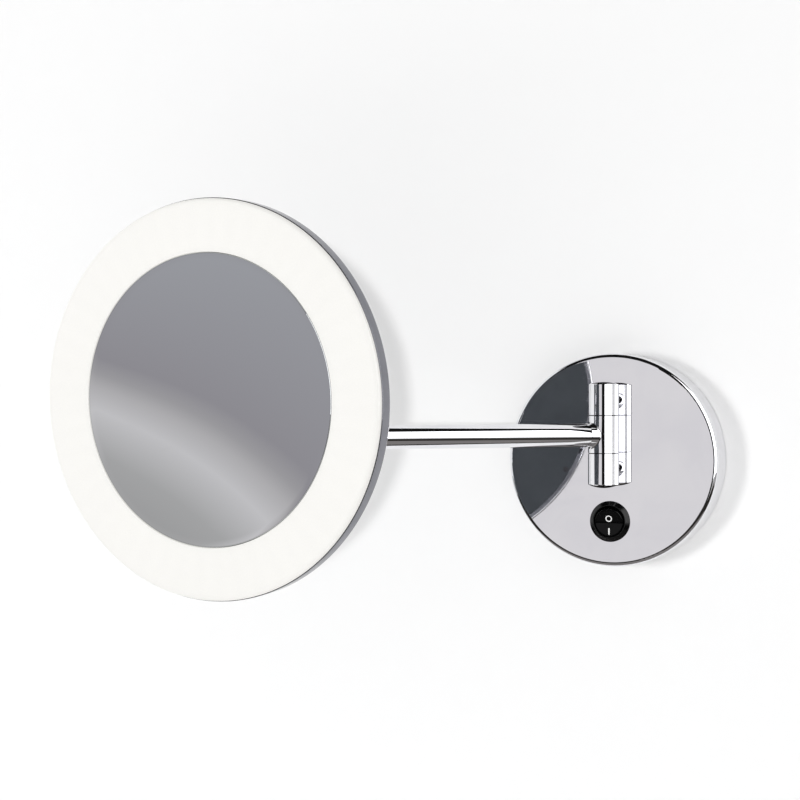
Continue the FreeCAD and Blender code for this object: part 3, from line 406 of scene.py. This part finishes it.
def lathe(name, outline, closed=True, around=180):
    """A mesh turned round Z from an outline of (radius, height) in millimetres."""
    bm = bmesh.new()
    rings = []
    for r, h in outline:
        if r < ON_AXIS:
            rings.append([bm.verts.new((0, 0, h * MM))] * around)
            continue
        angles = [2 * math.pi * k / around for k in range(around)]
        points = [(r * MM * math.cos(a), r * MM * math.sin(a), h * MM) for a in angles]
        rings.append([bm.verts.new(point) for point in points])
    pairs = list(zip(rings, rings[1:]))
    if closed:
        pairs.append((rings[-1], rings[0]))
    for low, high in pairs:
        for k in range(around):
            n = (k + 1) % around
            corners = list(dict.fromkeys((low[k], low[n], high[n], high[k])))
            bm.faces.new(corners)
    bmesh.ops.recalc_face_normals(bm, faces=bm.faces)
    mesh = bpy.data.meshes.new(name)
    bm.to_mesh(mesh)
    bm.free()
    return mesh


# ---- Head ----------------------------------------------------------------------------------
HEAD_OUT = HEAD @ OUTWARD
RIM_R, RIM_BACK, RIM_FRONT = 100.0, 20.0, 27.6
RING_R, RING_HOLE_R, RING_FRONT = 99.6, 73.2, 30.0
# the rear corner keeps bright chrome; the rim's side above it carries the painted dark reflection
RIM_CORNER_H, RIM_CORNER_W = 0.75, 1.0         # the bright rear corner
GLASS_R, GLASS_BALL_R, GLASS_T, GLASS_EDGE = 73.0, 750.0, 3.0, 29.7


def rim():
    """The rim: softened edges, the cover's shelf, and a side in darkened chrome, a painted dark
    reflection, above a bright rear corner.
    """
    outline = rounded([
        (96.9, RIM_BACK + 0.3), (RIM_R - 0.9, RIM_BACK, 0.2), (RIM_R - 0.35, RIM_BACK + 0.1, 0.3),
        (RIM_R, RIM_BACK + 1.0, 0.8), (RIM_R, RIM_FRONT, 0.3), (98.5, RIM_FRONT, 0.2), (98.5, 22.7),
        (91.0, 22.7, 0.2), (91.0, 21.2, 0.2), (96.9, 21.2)], closed=True)
    mesh = lathe("rim", outline, around=360)
    mesh.materials.append(MATERIALS["chrome_rim"])
    mesh.materials.append(MATERIALS["chrome_plate"])
    # faces at the rear corner get bright chrome, the rest keep the painted dark reflection
    for face in mesh.polygons:
        low = face.center.z < (RIM_BACK + RIM_CORNER_H) * MM
        if low and face.center.xy.length > (RIM_R - RIM_CORNER_W) * MM:
            face.material_index = 1
    make_piece("rim", mesh, HEAD_OUT, "head", "chrome_rim", "chrome_rim")


def opal_ring():
    """The opal ring: a flat face, a round outer edge, a small inner edge and the lip behind."""
    outline = rounded([
        (RING_HOLE_R, RIM_FRONT, 0.2), (RING_HOLE_R, RING_FRONT, 0.45), (RING_R, RING_FRONT, 1.7),
        (RING_R, RIM_FRONT, 0.15), (98.35, RIM_FRONT), (98.35, 25.4, 0.3), (96.35, 25.4, 0.3),
        (96.35, RIM_FRONT)], closed=True, steps=8)
    mesh = lathe("opal_ring", outline, around=360)
    make_piece("opal_ring", mesh, HEAD_OUT, "head", "opal", "light_ring")


def glass():
    """The slumped glass: a concave face, a ground bevel at its edge and a parallel back."""
    sag = math.sqrt(GLASS_BALL_R ** 2 - GLASS_R ** 2)
    bevel, steps = 0.35, 22
    radii = [(GLASS_R - bevel) * k / steps for k in range(steps + 1)]
    face = [(r, GLASS_EDGE + sag - math.sqrt(GLASS_BALL_R ** 2 - r ** 2)) for r in radii]
    back_r = GLASS_BALL_R + GLASS_T
    back = [(r, GLASS_EDGE + sag - math.sqrt(back_r ** 2 - r ** 2)) for r in radii]
    edge = [(GLASS_R, face[-1][1] - bevel), (GLASS_R, back[-1][1] + bevel)]
    outline = face + edge + back[::-1]
    mesh = lathe("glass", outline, closed=False, around=240)
    make_piece("glass", mesh, HEAD_OUT, "head", "mirror", "mirror_glass")


rim()
opal_ring()
glass()


# ---- Arm -----------------------------------------------------------------------------------
TUBE_R, TUBE_WALL, TUBE_START, TUBE_END_GAP = 6.4, 1.0, 7.0, 6.6
TUBE_END = ARM_AXIS.length / MM - TUBE_END_GAP


def tube():
    """The arm's tube with its deburred ends."""
    inner = TUBE_R - TUBE_WALL
    middle = [(TUBE_R, TUBE_START + (TUBE_END - TUBE_START) * k / 12) for k in range(1, 12)]
    outline = rounded([(inner, TUBE_START, 0.2), (TUBE_R, TUBE_START, 0.2), *middle,
                       (TUBE_R, TUBE_END, 0.2), (inner, TUBE_END, 0.2)], closed=True, steps=4)
    mesh = lathe("tube", outline, around=144)
    make_piece("tube", mesh, ALONG_ARM, "arm", "chrome_tube", "arm_tube")


tube()


# ---- Switch --------------------------------------------------------------------------------
PLATE_FRONT = 25.0
BEZEL_R, BEZEL_LIP_R, BEZEL_H, WELL_R, WELL_DEPTH = 11.5, 9.2, 2.4, 8.8, 7
BODY_R, BODY_DEPTH = 9.9, 13
ROCKER_R, ROCKER_WAIST, ROCKER_TAIL = 8.0, 3.4, 3.2


def bezel():
    """The switch's housing, with a conical bezel, a soft lip and the well for the rocker."""
    top, floor, rear = PLATE_FRONT + BEZEL_H, PLATE_FRONT - WELL_DEPTH, PLATE_FRONT - BODY_DEPTH
    outline = rounded([
        (0, floor), (WELL_R, floor, 0.5), (WELL_R, top, 0.18), (BEZEL_LIP_R + 0.1, top, 0.25),
        (BEZEL_R, PLATE_FRONT + 0.35, 0.3), (BEZEL_R, PLATE_FRONT), (BODY_R, PLATE_FRONT),
        (BODY_R, rear, 0.4), (0, rear)])
    mesh = lathe("bezel", outline, closed=False, around=128)
    make_piece("bezel", mesh, SWITCH, "wall_unit", "switch_black", "switch_housing", BEZEL_BLACK)


def rocker():
    """The rocker: two faces that dip to the middle, with a rounded edge all round."""
    lean, soft, edge_r, around = math.tan(math.radians(ROCKER_THROW)), 0.25, 0.5, 128
    flat = ROCKER_R - edge_r
    rings = [(flat * k / 14, 0.0) for k in range(1, 15)]
    bends = [math.radians(90 * k / 6) for k in range(1, 7)]
    rings += [(flat + edge_r * math.sin(a), edge_r * (1 - math.cos(a))) for a in bends]
    bm = bmesh.new()

    def vertex(r, angle, drop):
        z = r * math.sin(angle)
        rise = ROCKER_WAIST + lean * (math.sqrt(z * z + soft * soft) - soft / 2)
        return bm.verts.new((r * math.cos(angle) * MM, (drop - rise) * MM, z * MM))

    angles = [2 * math.pi * k / around for k in range(around)]
    loops = [[vertex(r, a, drop) for a in angles] for r, drop in rings]
    tail = [bm.verts.new((ROCKER_R * math.cos(a) * MM, ROCKER_TAIL * MM, ROCKER_R * math.sin(a) * MM))
            for a in angles]
    loops.append(tail)
    centre = vertex(0.0, 0.0, 0.0)
    for k in range(around):
        n = (k + 1) % around
        bm.faces.new((centre, loops[0][k], loops[0][n]))
        for inner, outer in zip(loops, loops[1:]):
            bm.faces.new((inner[k], outer[k], outer[n], inner[n]))
    bm.faces.new(tail)
    bmesh.ops.recalc_face_normals(bm, faces=bm.faces)
    mesh = bpy.data.meshes.new("rocker")
    bm.to_mesh(mesh)
    bm.free()
    make_piece("rocker", mesh, ROCKER, "rocker", "switch_black", "switch_rocker")


bezel()
rocker()


# ---- Studio --------------------------------------------------------------------------------
CENTRE = Vector((0, -0.1, 0.03))
CARD_R = 1.35
CARD_STEP = 4              # degrees
BAND_X, BAND_SLANT, BAND_LOW, BAND_HIGH = 0.972, 0.105, -0.060, -0.012
FLOOR_Z = -0.95


def stage_object(name, corners, faces, material, seen=True):
    """A stage mesh; an unseen one shows in reflections only."""
    mesh = bpy.data.meshes.new(name)
    mesh.from_pydata(corners, [], faces)
    mesh.materials.append(material)
    o = bpy.data.objects.new(name, mesh)
    o.visible_camera = o.visible_diffuse = o.visible_shadow = seen
    bpy.context.scene.collection.objects.link(o)
    o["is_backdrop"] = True


def stage_paint(name, colour):
    """A matt paint that shows from its front only."""
    material, tree, bsdf = new_material(name)
    bsdf.inputs["Base Color"].default_value = (*colour, 1)
    bsdf.inputs["Roughness"].default_value = 0.9
    bsdf.inputs["Specular IOR Level"].default_value = 0.0
    clear = add(tree, "ShaderNodeBsdfTransparent")
    mix = add(tree, "ShaderNodeMixShader")
    side = add(tree, "ShaderNodeNewGeometry")
    tree.links.new(side.outputs["Backfacing"], mix.inputs[0])
    tree.links.new(bsdf.outputs[0], mix.inputs[1])
    tree.links.new(clear.outputs[0], mix.inputs[2])
    tree.links.new(mix.outputs[0], tree.nodes["Material Output"].inputs["Surface"])
    return material


def card_paint(name, colour, strength):
    """An evenly lit card."""
    material, tree, _ = new_material(name)
    light = add(tree, "ShaderNodeEmission")
    light.inputs["Color"].default_value = (*colour, 1)
    light.inputs["Strength"].default_value = strength
    tree.links.new(light.outputs[0], tree.nodes["Material Output"].inputs["Surface"])
    return material


def graded_paint(name):
    """A grey sheet with a soft slanting band of light, lit by height."""
    material, tree, _ = new_material(name)
    split = add(tree, "ShaderNodeSeparateXYZ")
    tree.links.new(coordinates(tree), split.inputs[0])
    slant = maths(tree, "MULTIPLY", maths(tree, "ADD", split.outputs["X"], BAND_X), BAND_SLANT)
    height = maths(tree, "ADD", split.outputs["Z"], slant)
    ramp = add(tree, "ShaderNodeValToRGB")
    stops = ((0.0, (0.38, 0.395, 0.42)), (0.58, (0.29, 0.283, 0.305)), (0.632, (0.355, 0.348, 0.36)),
             (0.674, (0.455, 0.447, 0.455)), (0.75, (0.575, 0.57, 0.58)), (0.89, (0.40, 0.40, 0.40)),
             (1.0, (0.365, 0.365, 0.365)))
    while len(ramp.color_ramp.elements) < len(stops):
        ramp.color_ramp.elements.new(0.5)
    for element, (position, colour) in zip(ramp.color_ramp.elements, stops):
        element.position = position
        element.color = (*colour, 1)
    tree.links.new(spread_straight(tree, height, BAND_LOW, BAND_HIGH), ramp.inputs["Fac"])
    light = add(tree, "ShaderNodeEmission")
    tree.links.new(ramp.outputs["Color"], light.inputs["Color"])
    tree.links.new(light.outputs[0], tree.nodes["Material Output"].inputs["Surface"])
    return material


def card(name, yaws, heights, colour=(1, 1, 1), strength=1.0, material=None):
    """A curved upright card round the object, between two directions and two heights."""
    steps = max(2, round(abs(yaws[1] - yaws[0]) / CARD_STEP))
    corners = []
    for k in range(steps + 1):
        a = math.radians(yaws[0] + (yaws[1] - yaws[0]) * k / steps)
        for z in heights:
            corners.append((CENTRE.x + CARD_R * math.sin(a), CENTRE.y - CARD_R * math.cos(a), z))
    faces = [(2 * k, 2 * k + 2, 2 * k + 3, 2 * k + 1) for k in range(steps)]
    stage_object(name, corners, faces, material or card_paint(name, colour, strength), seen=False)


WALL_W, WALL_H = 3.0, 2.6
WALL_Y, WALL_CARD_Y = 0.0003, -0.01
FLOOR_DEPTH, SHEET_DEPTH = 4.0, 3.0
QUAD = [(0, 1, 2, 3)]


def upright(y, low, high):
    """The corners of an upright rectangle as wide as the wall."""
    return [(-WALL_W, y, low), (WALL_W, y, low), (WALL_W, y, high), (-WALL_W, y, high)]


def level(depth, z):
    """The corners of a level rectangle that starts at the wall."""
    return [(-WALL_W, -depth, z), (WALL_W, -depth, z), (WALL_W, 0.0, z), (-WALL_W, 0.0, z)]


PALE = (0.92, 0.92, 0.92)
stage_object("wall", upright(WALL_Y, FLOOR_Z, WALL_H), QUAD, stage_paint("wall_paint", PALE))
stage_object("floor", level(FLOOR_DEPTH, FLOOR_Z), QUAD, stage_paint("floor_paint", PALE))

WHITE = (1.0, 1.0, 1.0)
LILAC = (1.0, 0.98, 0.995)
WARM = (1.0, 0.95, 0.92)
card("front_grey", (-24, 1), (-0.22, 0.46), LILAC, 0.80)
card("front_above", (-60, 24), (0.46, 1.95), WHITE, 0.01)
card("front_below", (-60, 24), (-0.42, -0.22), WHITE, 0.02)
card("front_dark", (1, 24), (-0.22, 0.46), WHITE, 0.01)
card("right_white", (24, 85), (-0.22, 1.45), WHITE, 2.6)
card("right_above", (24, 100), (1.45, 1.95), WHITE, 0.01)
card("right_gap", (85, 91), (-0.5, 1.4), WHITE, 0.02)
card("left_sheet", (-60, -27), (-0.22, 0.46), material=graded_paint("sheet_paint"))
card("left_gap", (-27, -24), (-0.22, 0.46), WHITE, 0.02)
card("left_white", (-105, -60), (-0.22, 1.4), WHITE, 1.0)
card("low_dark", (-105, 91), (FLOOR_Z, -0.42), (0.9, 0.8, 0.7), 0.03)
for name, low, high in (("wall_above", 0.42, 3.0), ("wall_below", FLOOR_Z, -0.42)):
    paint = card_paint(name + "_paint", WHITE, 0.01)
    stage_object(name, upright(WALL_CARD_Y, low, high), QUAD, paint, seen=False)
for name, z, strength in (("ceiling", 2.0, 0.01), ("low_sheet", FLOOR_Z + 0.01, 0.22)):
    paint = card_paint(name + "_paint", WARM, strength)
    stage_object(name, level(SHEET_DEPTH, z), QUAD, paint, seen=False)


def softbox(name, yaw, elevation, distance, size, power, blockers=()):
    """A soft light that faces the object, by its direction; only its blockers, if any, shade it."""
    data = bpy.data.lights.new(name, "AREA")
    data.shape = "RECTANGLE"
    data.size, data.size_y = size
    data.energy = power
    o = bpy.data.objects.new(name, data)
    o.visible_camera = False
    o.visible_glossy = False
    a, e = math.radians(yaw), math.radians(elevation)
    back = Vector((math.sin(a) * math.cos(e), -math.cos(a) * math.cos(e), math.sin(e)))
    facing = back.to_track_quat("Z", "Y").to_matrix().to_4x4()
    o.matrix_world = Matrix.Translation(CENTRE + back * distance) @ facing
    bpy.context.scene.collection.objects.link(o)
    if blockers:
        group = bpy.data.collections.new(name + "_blockers")
        for blocker in blockers:
            group.objects.link(blocker)
        o.light_linking.blocker_collection = group


softbox("key", 15.8, 0.3, 3.066, (0.105, 0.105), 27)
softbox("side", -27, 0, 3.0, (0.55, 0.55), 29, [nodes["backplate_cover"]])

world = bpy.data.worlds.new("studio")
bpy.context.scene.world = world
world.use_nodes = True
world.node_tree.nodes["Background"].inputs["Color"].default_value = (1, 1, 1, 1)
world.node_tree.nodes["Background"].inputs["Strength"].default_value = 0.42

low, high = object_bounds()
